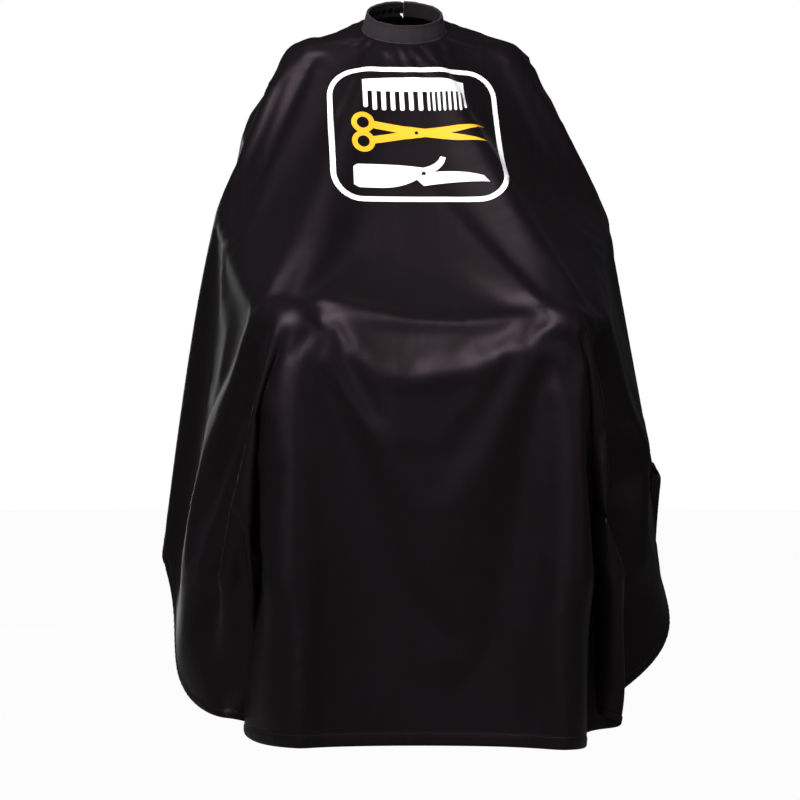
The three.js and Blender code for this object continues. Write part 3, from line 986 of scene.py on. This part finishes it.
def stitch_shape():
    """One stitch, along X, one unit long and one wide: a hexagonal thread with pointed ends."""
    deselect()
    bpy.ops.mesh.primitive_cylinder_add(vertices=6, radius=0.5, depth=0.7, rotation=(0, math.pi / 2, 0))
    stitch = bpy.context.object
    bpy.ops.object.transform_apply(location=True, rotation=True, scale=True)
    bpy.ops.object.mode_set(mode="EDIT")
    bpy.ops.mesh.select_all(action="DESELECT")
    bpy.ops.object.mode_set(mode="OBJECT")
    for face in stitch.data.polygons:
        face.select = abs(face.normal.x) > 0.9
    bpy.ops.object.mode_set(mode="EDIT")
    bpy.ops.mesh.select_mode(type="FACE")
    bpy.ops.mesh.inset(thickness=0.22, depth=0.13, use_individual=True)
    bpy.ops.object.mode_set(mode="OBJECT")
    points = points_of(stitch.data)
    faces = [tuple(face.vertices) for face in stitch.data.polygons]
    bpy.data.meshes.remove(stitch.data)
    return points, faces


def stitch_run(shape, seam, pitch, length, thick=0.00045):
    """Stitches along a seam, a list of places and normals: their points and faces."""
    points, faces = shape
    line = np.array([tuple(place) for place, _ in seam])
    ups = np.array([tuple(up) for _, up in seam])
    along = np.concatenate([[0], np.cumsum(np.linalg.norm(np.diff(line, axis=0), axis=1))])
    made, made_faces = [], []
    for at in np.arange(pitch / 2, along[-1] - pitch / 2, pitch):
        ends = [np.array([np.interp(at + d, along, line[:, k]) for k in range(3)]) for d in (-length / 2, length / 2)]
        up = np.array([np.interp(at, along, ups[:, k]) for k in range(3)])
        ahead = (ends[1] - ends[0]) / max(np.linalg.norm(ends[1] - ends[0]), 1e-9)
        side = np.cross(up, ahead)
        side /= max(np.linalg.norm(side), 1e-9)
        turn = np.stack([ahead * length, side * thick, np.cross(ahead, side) * thick])
        base = len(made) * len(points)
        made.append(points @ turn + (ends[0] + ends[1]) / 2 + up * thick * 0.3)
        made_faces += [tuple(i + base for i in face) for face in faces]
    return np.concatenate(made), made_faces


def stitch_piece(name, seams, pitch, length, body=("cape",)):
    """All the stitches of one or more seams as one piece of thread."""
    shape = stitch_shape()
    points, faces = [], []
    for seam in seams:
        made, made_faces = stitch_run(shape, seam, pitch, length)
        base = sum(len(p) for p in points)
        points.append(made)
        faces += [tuple(i + base for i in face) for face in made_faces]
    points = np.concatenate(points)
    piece = mesh_piece(name, points, faces, points[:, :2])
    return finish_piece(piece, name, "thread", body, angle=50)


class MakeHems(bpy.types.Operator):
    """Turn the hems along the edges and stitch them"""

    bl_idname = "barber_cape.hems"
    bl_label = "Hems"

    def execute(self, context):
        band = sizes("band")
        draped = Draped()
        seams, hems = [], []
        for seed, (stretch, points) in enumerate(outline_path().items()):
            hem, seam = turned_hem(draped, stretch + "_turned_hem", points, seed)
            finish_piece(hem, stretch + "_turned_hem", "satin", angle=60)
            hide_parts(stretch + "_hem")
            hems.append(hem)
            seams.append([(place + up * 0.0005, up) for place, up in seam])
        thread = stitch_piece("hem_stitches", seams, band.pitch, band.stitch)
        cloth = sizes("cloth")
        return {"FINISHED"}


def band_groove(height, low, high):
    """The small dip that a row of stitches pulls into the band."""
    return sum(0.00028 * math.exp(-(((height - at) / 0.0008) ** 2)) for at in (low, high))


class MakeNeckband(bpy.types.Operator):
    """Make the neckband: outer cloth over a stiffener, lining and two rows of stitches"""

    bl_idname = "barber_cape.neckband"
    bl_label = "Neckband"

    def execute(self, context):
        band = sizes("band")
        around = 2 * (math.pi - BAND_SLIT)
        low_seam, high_seam = 0.0022, BAND_HEIGHT - 0.0032

        def ripple(angle):
            return 0.00035 * math.sin(9 * angle + 0.7) + 0.00025 * math.sin(23 * angle)

        def outer(u, v):
            angle = (u - 0.5) * around
            top = BAND_HEIGHT + 0.0006 + ripple(angle)
            height = -band.seam + (top + band.seam) * v
            out = 0.0006 + ripple(angle) * (1 - v) - band_groove(height, low_seam, high_seam)
            flare = 0.0008 * smooth_step(-height, -0.002, band.seam)
            return on_band(angle, height, out + flare)

        def lining(u, v):
            angle = (u - 0.5) * around
            height = -band.seam * 0.5 + (BAND_HEIGHT + band.seam * 0.5 - 0.0002) * v
            return on_band(angle, height, -0.0023)

        def binding(u, v):
            """The fold over the top edge that joins outer cloth and lining."""
            angle = (u - 0.5) * around
            turn = math.pi * v
            middle = -0.0012
            height = BAND_HEIGHT + 0.0001 + 0.0011 * math.sin(turn) + ripple(angle)
            return on_band(angle, height, middle + 0.0021 * math.cos(turn))

        girth = BAND_RADIUS * around
        cloth = sheet_piece(150, 22, outer, band.layer, (girth, BAND_HEIGHT))
        finish_piece(cloth, "neckband_cloth", "band_cloth", angle=60)
        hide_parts("neckband_outer")
        inner = sheet_piece(120, 8, lining, band.layer, (girth, BAND_HEIGHT))
        finish_piece(inner, "neckband_lining_cloth", "band_cloth", angle=60)
        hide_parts("neckband_lining")
        fold = sheet_piece(150, 8, binding, 0.0005, (girth, 0.006))
        finish_piece(fold, "neckband_fold", "band_cloth", angle=60)
        steps = 240
        seams = []
        for height in (low_seam, high_seam):
            angles = [(i / steps - 0.5) * (around - 0.03) for i in range(steps + 1)]
            seams.append([(on_band(a, height, 0.0006), band_normal(a)) for a in angles])
        stitch_piece("neckband_stitches", seams, 0.0034, 0.0024)
        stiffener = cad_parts["neckband_stiffener"]
        stiffener.data.materials.clear()
        stiffener.data.materials.append(bpy.data.materials["interfacing"])
        return {"FINISHED"}


def strap_place(u, v, out):
    """A place on the strap: u runs from its sewn root to its rounded tip."""
    angle = STRAP_ROOT_FROM + (STRAP_TO - STRAP_ROOT_FROM) * u
    lift = STRAP_LIFT * smooth_step(angle, STRAP_FOLD_AT, STRAP_FOLD_AT + STRAP_RISE)
    reach = (STRAP_TO - angle) * BAND_RADIUS
    corner = 0.0085
    short = corner - math.sqrt(max(0.0, corner**2 - max(0.0, corner - reach) ** 2))
    height = BAND_HEIGHT / 2 + (v - 0.5) * (STRAP_HEIGHT - 2 * short)
    return on_band(angle, height, lift + out)


class MakeStrap(bpy.types.Operator):
    """Make the closure strap, which is sewn at its root and lifted a little off the band past it"""

    bl_idname = "barber_cape.strap"
    bl_label = "Strap"

    def execute(self, context):
        band = sizes("band")
        length = (STRAP_TO - STRAP_ROOT_FROM) * BAND_RADIUS
        over = 0.0003 + 0.0006  # over the band's own ripple
        pieces = []
        for name, nodes, out in (
            ("strap_lining_cloth", ("root_lining", "strap_lining"), over + band.layer),
            ("strap_cloth", ("root_outer", "strap_outer"), over + 2 * band.layer + 0.0003),
        ):
            piece = sheet_piece(84, 20, lambda u, v: strap_place(u, v, out), band.layer, (length, STRAP_HEIGHT))
            finish_piece(piece, name, "band_cloth", bodies=(), angle=60)
            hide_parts(*nodes)
            pieces.append(piece)
        top = over + 2 * band.layer + 0.0003
        margin = 0.0028
        v_low, v_high = margin / STRAP_HEIGHT, 1 - margin / STRAP_HEIGHT
        u_end = 1 - margin / length
        outline = [(0.02 + (u_end - 0.02) * i / 60, v_low) for i in range(61)]
        outline += [(u_end, v_low + (v_high - v_low) * i / 12) for i in range(1, 12)]
        outline += [(u_end - (u_end - 0.02) * i / 60, v_high) for i in range(61)]
        normal = [band_normal(STRAP_ROOT_FROM + (STRAP_TO - STRAP_ROOT_FROM) * u) for u, _ in outline]
        seam = [(strap_place(u, v, top), n) for (u, v), n in zip(outline, normal)]
        pieces.append(stitch_piece("strap_stitches", [seam], 0.0034, 0.0024, body=()))
        for piece in pieces:
            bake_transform(piece)
        return {"FINISHED"}


def turned(profile, angle, out, sides=40):
    """A round metal piece on the band, grown ring by ring from its back face, away from the neck."""
    deselect()
    base = on_band(angle, BAND_HEIGHT / 2, out)
    upright = band_normal(angle).to_track_quat("Z", "Y").to_matrix().to_4x4()
    first = profile[0][0]
    bpy.ops.mesh.primitive_circle_add(vertices=sides, radius=first, fill_type="NGON")
    piece = bpy.context.object
    bpy.ops.object.mode_set(mode="EDIT")
    bpy.ops.mesh.select_all(action="SELECT")
    for (radius, height), (next_radius, next_height) in zip(profile[:-1], profile[1:]):
        bpy.ops.mesh.extrude_region_move(TRANSFORM_OT_translate={"value": (0, 0, next_height - height)})
        share = next_radius / radius
        bpy.ops.transform.resize(value=(share, share, 1), center_override=(0, 0, next_height))
    bpy.ops.mesh.select_all(action="SELECT")
    bpy.ops.mesh.normals_make_consistent(inside=False)
    bpy.ops.object.mode_set(mode="OBJECT")
    piece.data.transform(Matrix.Translation(base) @ upright)
    return piece


class MakeSnaps(bpy.types.Operator):
    """Make the snap fasteners: studs with washers on the band, sockets with caps on the strap"""

    bl_idname = "barber_cape.snaps"
    bl_label = "Snap fasteners"

    def execute(self, context):
        stud = [
            (0.0044, 0), (0.0050, 0.0002), (0.0050, 0.0004), (0.0046, 0.0006), (0.0028, 0.0006), (0.0021, 0.0008),
            (0.0018, 0.0011), (0.0020, 0.0014), (0.0019, 0.0016), (0.0012, 0.0017), (0.0003, 0.0017),
        ]
        washer = [(0.0042, 0), (0.0045, 0.0001), (0.0045, 0.0004), (0.0041, 0.0005), (0.0016, 0.0005), (0.0014, 0.0003), (0.0002, 0.0003)]
        cap = [
            (0.0050, 0), (0.0055, 0.0001), (0.0055, 0.0003), (0.0052, 0.0006), (0.0042, 0.0010), (0.0028, 0.0013),
            (0.0012, 0.0014), (0.0002, 0.0014),
        ]
        socket = [
            (0.0026, 0.0013), (0.0026, 0.0001), (0.0028, 0), (0.0047, 0), (0.0050, 0.0002), (0.0050, 0.0011), (0.0047, 0.0013),
            (0.0030, 0.0013),
        ]
        for kind, profile, count, body in (
            ("snap_stud", stud, STUD_COUNT, "cape"),
            ("stud_washer", washer, STUD_COUNT, "cape"),
            ("snap_cap", cap, SOCKET_COUNT, "closure_strap"),
            ("snap_socket", socket, SOCKET_COUNT, "closure_strap"),
        ):
            for number in range(1, count + 1):
                self.add(kind, number, profile, body)
        return {"FINISHED"}

    def add(self, kind, number, profile, body):
        node = f"{kind}_{number}"
        low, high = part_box(node)
        local = NECK_TURN.transposed() @ ((low + high) / 2)
        angle = math.atan2(local.x, -local.y) % (2 * math.pi)
        middle = on_band(angle, BAND_HEIGHT / 2, 0)
        thick = profile[0][1] if kind == "snap_socket" else profile[-1][1]
        out = ((low + high) / 2 - middle).dot(band_normal(angle)) - thick / 2
        if kind == "snap_stud":
            out += 0.0003
        piece = turned_ring(profile, angle, out) if kind == "snap_socket" else turned(profile, angle, out)
        finish_piece(piece, node + "_metal", "black_snap", bodies=(body,), angle=30)
        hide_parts(node)


def turned_ring(profile, angle, out, sides=40):
    """A ring on the band: its section is spun round the ring's own axis."""
    deselect()
    upright = band_normal(angle).to_track_quat("Z", "Y").to_matrix().to_4x4()
    bpy.ops.mesh.primitive_circle_add(vertices=len(profile), radius=1, fill_type="NOTHING")
    piece = bpy.context.object
    set_points(piece.data, [(radius, 0, height) for radius, height in profile])
    bpy.ops.object.mode_set(mode="EDIT")
    bpy.ops.mesh.select_all(action="SELECT")
    bpy.ops.mesh.spin(steps=sides, angle=2 * math.pi, center=(0, 0, 0), axis=(0, 0, 1))
    bpy.ops.mesh.select_all(action="SELECT")
    bpy.ops.mesh.remove_doubles(threshold=1e-6)
    bpy.ops.mesh.normals_make_consistent(inside=False)
    bpy.ops.object.mode_set(mode="OBJECT")
    piece.data.transform(Matrix.Translation(on_band(angle, BAND_HEIGHT / 2, out)) @ upright)
    return piece


# ---------------------------------------------------------------- the print


def circle(x, y, radius, count=48, start=0.0, end=360.0):
    turns = [math.radians(start + (end - start) * i / count) for i in range(count + (end - start < 360))]
    return [(x + radius * math.cos(t), y + radius * math.sin(t)) for t in turns]


def rounded_box(width, height, radius):
    x, y = width / 2 - radius, height / 2 - radius
    quarters = ((x, y, 0), (-x, y, 90), (-x, -y, 180), (x, -y, 270))
    return [p for cx, cy, start in quarters for p in circle(cx, cy, radius, 14, start, start + 90)]


def turned_by(points, degrees):
    c, s = math.cos(math.radians(degrees)), math.sin(math.radians(degrees))
    return [(x * c - y * s, x * s + y * c) for x, y in points]


def curve(start, control, end, count=16):
    """Points of a quadratic curve, with both ends."""
    made = []
    for i in range(count + 1):
        t = i / count
        weights = ((1 - t) ** 2, 2 * t * (1 - t), t * t)
        made.append(tuple(sum(w * p[k] for w, p in zip(weights, (start, control, end))) for k in range(2)))
    return made


def comb_outline(length, height, teeth):
    """A comb with its teeth down, coarser on one half, as barbers' combs are."""
    spine, made = height * 0.42, [(length / 2, height / 2 - 0.004)]
    made += curve((length / 2, height / 2 - 0.004), (0, height / 2 + 0.006), (-length / 2, height / 2 - 0.004))[1:]
    widths = [1.35 if i < teeth // 2 else 0.75 for i in range(teeth)]
    unit = length / (sum(widths) * 2 - widths[-1])
    x = -length / 2
    for i, width in enumerate(widths):
        wide = unit * width
        tip = -height / 2 + (0.004 if i in (0, teeth - 1) else 0)
        made += [(x, tip + 0.002), (x + wide * 0.25, tip), (x + wide * 0.75, tip), (x + wide, tip + 0.002)]
        if i < teeth - 1:
            made += [(x + wide, height / 2 - spine), (x + 2 * wide, height / 2 - spine)]
        x += 2 * wide
    return made


def scissors_shapes(length, height):
    """Two blades with their bows, crossed at the pivot: solid outlines and holes."""
    solid, holes = [], []
    for side in (-1, 1):
        blade = curve((length * 0.50, height * 0.02), (length * 0.26, height * 0.17), (-length * 0.08, height * 0.15))
        blade += [(-length * 0.08, -height * 0.10), (length * 0.30, -height * 0.07)]
        shank = curve((length * 0.03, height * 0.13), (-length * 0.12, height * 0.08), (-length * 0.34, height * 0.11))
        shank += [(-length * 0.34, -height * 0.11), (-length * 0.02, -height * 0.13)]
        bow = circle(-length * 0.385, 0, height * 0.31)
        finger = circle(-length * 0.385, 0, height * 0.165)
        mirrored = [[(x, y * side) for x, y in shape][::side] for shape in (blade, shank, bow, finger)]
        solid.append(turned_by(mirrored[0], -side * 8))
        solid += [turned_by(shape, side * 11) for shape in mirrored[1:3]]
        holes.append(turned_by(mirrored[3], side * 11))
    holes.append(circle(0, 0, height * 0.05, 20))
    return solid, holes


def razor_shapes(length, height):
    """A straight razor, opened out: a broad blade, its tail, and the handle under it."""
    blade = curve((length * 0.02, -height * 0.10), (-length * 0.10, -height * 0.42), (-length * 0.26, -height * 0.44))
    blade += [(-length * 0.46, -height * 0.44), (-length * 0.50, -height * 0.36), (-length * 0.50, height * 0.14)]
    blade += curve((-length * 0.47, height * 0.22), (-length * 0.2, height * 0.26), (length * 0.04, height * 0.14))
    tail = curve((length * 0.0, height * 0.12), (length * 0.14, height * 0.20), (length * 0.17, height * 0.48))
    tail += curve((length * 0.21, height * 0.44), (length * 0.18, height * 0.04), (length * 0.02, -height * 0.10))
    handle = curve((length * 0.02, -height * 0.02), (length * 0.30, height * 0.14), (length * 0.48, -height * 0.10))
    handle += curve((length * 0.52, -height * 0.28), (length * 0.34, -height * 0.20), (length * 0.03, -height * 0.38))
    handle += [(-length * 0.02, -height * 0.2)]
    return [blade, tail, handle], [circle(length * 0.035, -height * 0.02, height * 0.055, 20)]


def filled(solid, holes, step):
    """Points and triangles of outlines less holes, with points inside for bending."""
    points, edges, faces = [], [], []
    for outline in [*solid, *holes]:
        base = len(points)
        near = [p for p, q in zip(outline, outline[1:] + outline[:1]) if math.dist(p, q) > 1e-5]
        looped = spaced([np.array(p) for p in near + near[:1]], step)
        points += [tuple(p) for p in looped]
        faces.append(list(range(base, len(points))))
        edges += [(i, i + 1) for i in range(base, len(points) - 1)] + [(len(points) - 1, base)]
    low, high = np.min(points, 0), np.max(points, 0)
    for j, y in enumerate(np.arange(low[1], high[1], step)):
        points += [(x + (j % 2) * step / 2, y) for x in np.arange(low[0], high[0], step)]
    made, _, triangles, _, _, origin = delaunay_2d_cdt([Vector(p) for p in points], edges, faces, 1, 1e-7)
    kept = [
        tuple(t)
        for t, found in zip(triangles, origin)
        if any(f < len(solid) for f in found) and not any(f >= len(solid) for f in found)
    ]
    used = sorted({i for t in kept for i in t})
    number = {i: n for n, i in enumerate(used)}
    return [made[i] for i in used], [tuple(number[i] for i in t) for t in kept]


def upwards(points, faces):
    """The faces with each one turned to face up on the flat cut."""
    made = []
    for a, b, c in faces:
        turn = (points[b] - points[a]).cross(points[c] - points[a])
        made.append((a, b, c) if turn > 0 else (a, c, b))
    return made


class MakePrint(bpy.types.Operator):
    """Press the chest print on the cloth: a frame, a comb, scissors and a razor"""

    bl_idname = "barber_cape.chest_print"
    bl_label = "Chest print"

    def execute(self, context):
        ink = sizes("print")
        draped = Draped()
        low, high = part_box("badge_frame")
        middle_x, middle_z = (low.x + high.x) / 2, (low.z + high.z) / 2
        width, height = high.x - low.x, high.z - low.z
        frame_outer = rounded_box(width, height, ink.corner)
        frame_inner = rounded_box(width - 2 * ink.line, height - 2 * ink.line, ink.corner - ink.line)
        row = height / 4
        marks = (
            ("badge_frame", 0, ([frame_outer], [frame_inner]), "white"),
            ("badge_comb", ink.row, ([comb_outline(0.158, row, ink.teeth)], []), "white"),
            ("badge_scissors", 0, scissors_shapes(0.214, row), "yellow"),
            ("badge_razor", -ink.row, razor_shapes(0.196, row), "white"),
        )
        for node, rise, shapes, colour in marks:
            flat, faces = filled(*shapes, 0.005)
            faces = upwards(flat, faces)
            laid = [draped.ahead(middle_x + p.x, middle_z + p.y + rise) for p in flat]
            points = [place + normal * (0.0004 + ink.film) for place, normal in laid]
            mesh = bpy.data.meshes.new(node)
            mesh.from_pydata([tuple(p) for p in points], [], faces)
            map_flat(mesh, [(p.x * 0.5 + 0.5, p.y * 0.5 + 0.62) for p in flat])
            piece = bpy.data.objects.new(node, mesh)
            context.scene.collection.objects.link(piece)
            apply_modifier(piece, "SOLIDIFY", thickness=ink.film, offset=-1)
            finish_piece(piece, node + "_print", colour + "_print", angle=60)
            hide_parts(node)
        return {"FINISHED"}


# ---------------------------------------------------------------- the stage


def area_light(name, place, target, size, power, colour=(1, 1, 1)):
    deselect()
    bpy.ops.object.light_add(type="AREA", location=place)
    light = bpy.context.object
    light.name = name
    light.data.energy = power
    light.data.size = size
    light.data.color = colour
    light.rotation_mode = "QUATERNION"
    light.rotation_quaternion = (Vector(target) - Vector(place)).to_track_quat("-Z", "Y")
    return light


def floor_material():
    """A pale floor that stays even and bright, with a faint shadow."""
    material, tree, shader = new_material("pale_floor", 0.9)
    shader.inputs["Base Color"].default_value = (0.32, 0.32, 0.32, 1)
    shader.inputs["Specular IOR Level"].default_value = 0
    glow = tree.nodes.new("ShaderNodeEmission")
    glow.inputs["Color"].default_value = (1, 1, 1, 1)
    mix = tree.nodes.new("ShaderNodeMixShader")
    path = tree.nodes.new("ShaderNodeLightPath")
    tree.links.new(maths(tree, "MULTIPLY", path.outputs["Is Camera Ray"], 0.97), mix.inputs["Fac"])
    tree.links.new(shader.outputs["BSDF"], mix.inputs[1])
    tree.links.new(glow.outputs["Emission"], mix.inputs[2])
    tree.links.new(mix.outputs["Shader"], tree.nodes["Material Output"].inputs["Surface"])
    return material


def studio_world():
    world = bpy.data.worlds.new("studio")
    world.use_nodes = True
    tree = world.node_tree
    dim = tree.nodes["Background"]
    dim.inputs["Color"].default_value = (0.9, 0.95, 1, 1)
    dim.inputs["Strength"].default_value = 0.06
    bright = tree.nodes.new("ShaderNodeBackground")
    bright.inputs["Color"].default_value = (1, 1, 1, 1)
    mix = tree.nodes.new("ShaderNodeMixShader")
    path = tree.nodes.new("ShaderNodeLightPath")
    tree.links.new(path.outputs["Is Camera Ray"], mix.inputs["Fac"])
    tree.links.new(dim.outputs["Background"], mix.inputs[1])
    tree.links.new(bright.outputs["Background"], mix.inputs[2])
    tree.links.new(mix.outputs["Shader"], tree.nodes["World Output"].inputs["Surface"])
    return world


class MakeStage(bpy.types.Operator):
    """Set up the floor, the lights and the camera"""

    bl_idname = "barber_cape.stage"
    bl_label = "Stage"

    def execute(self, context):
        stage = sizes("stage")
        scene = context.scene
        deselect()
        bpy.ops.mesh.primitive_circle_add(vertices=96, radius=9, fill_type="NGON", location=(0, 0, stage.floor))
        floor = context.object
        floor.name = "floor"
        floor.data.materials.append(floor_material())
        area_light("key", (-0.75, -1.75, 1.35), (0, -0.2, -0.4), 1.4, stage.key, (1, 0.98, 0.97))
        area_light("fill", (2.3, -2.2, 0.5), (0, -0.2, -0.5), 2.0, stage.key * 0.10)
        area_light("front", (0.1, -3.6, -0.2), (0, 0, -0.6), 1.6, stage.key * 0.05)
        area_light("back", (-0.5, 2.8, -0.5), (0, 0, -0.4), 1.8, stage.key * 0.25)
        scene.world = studio_world()
        scene.view_settings.view_transform = "Standard"
        c, s = math.cos(stage.turn), math.sin(stage.turn)
        place = (s * stage.distance - c * stage.aside, -c * stage.distance - s * stage.aside, stage.height)
        bpy.ops.object.camera_add(location=place, rotation=(math.pi / 2, 0, stage.turn))
        camera = context.object
        camera.data.lens = stage.lens
        camera.data.sensor_width = 36
        scene.camera = camera
        return {"FINISHED"}


OPERATORS = (MakeMaterials, MakeCloth, MakeHems, MakeNeckband, MakeStrap, MakeSnaps, MakePrint, MakeStage)


class CapePanel(bpy.types.Panel):
    """The steps of the cape, in order"""

    bl_idname = "VIEW3D_PT_barber_cape"
    bl_label = "Barber cape"
    bl_space_type = "VIEW_3D"
    bl_region_type = "UI"
    bl_category = "Barber cape"

    def draw(self, context):
        for operator in OPERATORS:
            self.layout.operator(operator.bl_idname)
        for group in GROUPS:
            box = self.layout.box()
            box.label(text=group.title())
            settings = settings_of(group)
            for name in GROUPS[group].__annotations__:
                box.prop(settings, name)


GROUPS = {"cloth": ClothSizes, "band": BandSizes, "print": PrintSizes, "stage": StageSizes}


def register():
    for cls in (*GROUPS.values(), *OPERATORS, CapePanel):
        bpy.utils.register_class(cls)
    for group, cls in GROUPS.items():
        setattr(bpy.types.Scene, "barber_" + group, PointerProperty(type=cls))


def unregister():
    for group in GROUPS:
        delattr(bpy.types.Scene, "barber_" + group)
    for cls in reversed((*GROUPS.values(), *OPERATORS, CapePanel)):
        bpy.utils.unregister_class(cls)


def main():
    register()
    for operator in OPERATORS:
        section, name = operator.bl_idname.split(".")
        getattr(getattr(bpy.ops, section), name)()


if __name__ == "__main__":
    main()
